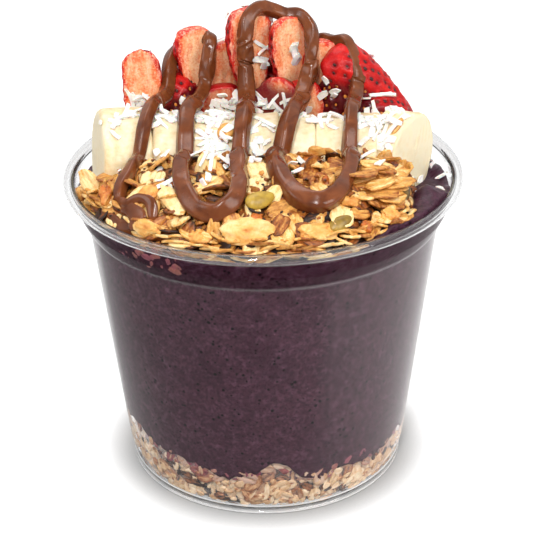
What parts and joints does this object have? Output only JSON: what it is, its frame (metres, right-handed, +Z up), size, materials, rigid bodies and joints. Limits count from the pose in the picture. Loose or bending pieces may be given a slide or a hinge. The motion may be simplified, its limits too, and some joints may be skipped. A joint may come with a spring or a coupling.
{
  "type": "acai bowl",
  "caption": "Acai bowl in a clear plastic cup, layered with granola and topped with banana slices, cut strawberries, coconut shreds and a hazelnut spread drizzle.",
  "frame": {"origin": "centre of the ring that the cup stands on, on the surface it rests on", "axes": "+Z up; -Y is the front, where the upper granola lies; +X is the right-hand side seen from the front"},
  "size_m": [0.117, 0.117, 0.1362],
  "materials": {
    "clear_plastic": "thin clear glossy plastic, smooth, with a rolled lip",
    "granola": "baked oats, nuts and seeds, dry and rough, golden to brown",
    "acai": "thick frozen fruit puree, dark purple, moist and softly glossy",
    "banana": "fresh cut banana flesh, creamy, moist with a soft sheen",
    "strawberry": "fresh strawberry, red glossy skin with seeds, paler wet cut faces",
    "hazelnut_spread": "smooth chocolate hazelnut spread, milk brown, glossy"
  },
  "bodies": {
    "root": {"cup": "clear_plastic", "granola_base": "granola", "acai": "acai", "granola_top": "granola", "banana_1": "banana", "banana_2": "banana", "banana_3": "banana", "banana_4": "banana", "banana_5": "banana", "banana_6": "banana", "banana_7": "banana", "banana_8": "banana", "strawberry_1": "strawberry", "strawberry_2": "strawberry", "strawberry_3": "strawberry", "strawberry_4": "strawberry", "strawberry_5": "strawberry", "strawberry_6": "strawberry", "strawberry_7": "strawberry", "strawberry_8": "strawberry", "strawberry_9": "strawberry", "strawberry_10": "strawberry", "strawberry_11": "strawberry", "strawberry_12": "strawberry", "strawberry_13": "strawberry", "strawberry_14": "strawberry", "strawberry_15": "strawberry", "strawberry_16": "strawberry", "strawberry_17": "strawberry", "strawberry_18": "strawberry", "strawberry_19": "strawberry", "strawberry_20": "strawberry", "strawberry_21": "strawberry", "strawberry_22": "strawberry", "hazelnut_drizzle": "hazelnut_spread"}
  },
  "joints": []
}
